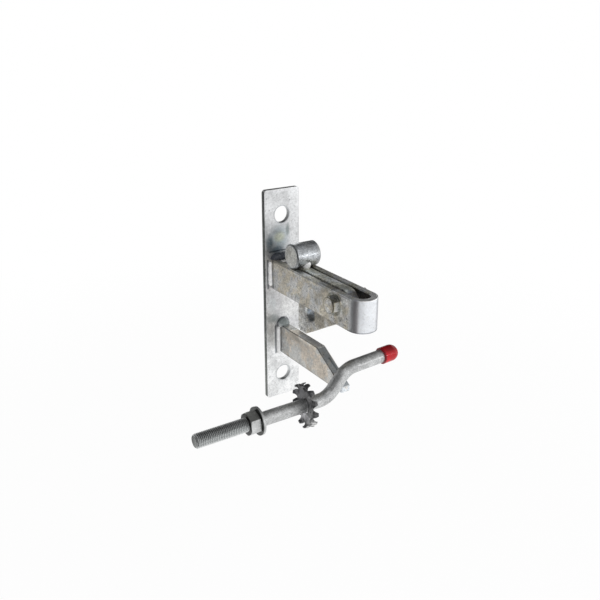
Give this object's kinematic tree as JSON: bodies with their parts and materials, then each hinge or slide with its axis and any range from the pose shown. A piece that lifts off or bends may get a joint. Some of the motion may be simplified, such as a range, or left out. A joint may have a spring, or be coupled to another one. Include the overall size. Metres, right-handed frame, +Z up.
{
  "type": "self locking gate latch",
  "caption": "Post plate with a strap loop holding a hinged drop catch over a sloped ramp, and a cranked striker bar for the gate with a threaded end, nut, washer and toothed connector.",
  "frame": {"origin": "middle of the post plate's back face", "axes": "+Z up, along the post plate; +Y into the post, so the loop reaches out along -Y; +X along the striker bar, away from its threaded end"},
  "size_m": [0.2673, 0.1855, 0.28],
  "materials": {
    "zinc": "hot dip galvanised, mottled",
    "dark_zinc": "dull dark zinc",
    "red_plastic": "glossy"
  },
  "bodies": {
    "post_latch": {"back_plate": "zinc", "strap_loop": "zinc", "ramp_plate": "zinc", "weld_strap_near": "zinc", "weld_strap_far": "zinc", "weld_strap_top": "zinc", "weld_ramp_near": "zinc", "weld_ramp_far": "zinc", "weld_ramp_top": "zinc", "pivot_bolt": "zinc", "pivot_nut": "zinc", "spacer_near": "zinc", "spacer_far": "zinc"},
    "catch": {"catch_plate": "zinc", "thumb_bar": "zinc", "weld_thumb_front": "zinc", "weld_thumb_back": "zinc"},
    "striker": {"striker_bar": "zinc", "end_cap": "red_plastic"},
    "nut_set": {"striker_nut": "zinc", "striker_washer": "zinc"},
    "connector": {"toothed_connector": "dark_zinc"}
  },
  "joints": [
    {"name": "catch_pivot", "type": "hinge", "parent": "post_latch", "child": "catch", "pos_m": [0, -0.14, 0.038], "axis": [1, 0, 0], "range_deg": [0, 125]},
    {"name": "striker_pull", "type": "slide", "parent": "post_latch", "child": "striker", "axis": [0, -1, 0], "range_m": [0, 0.12]},
    {"name": "nut_travel", "type": "slide", "parent": "striker", "child": "nut_set", "axis": [-1, 0, 0], "range_m": [0, 0.045]},
    {"name": "connector_travel", "type": "slide", "parent": "striker", "child": "connector", "axis": [-1, 0, 0], "range_m": [0, 0.04]}
  ]
}
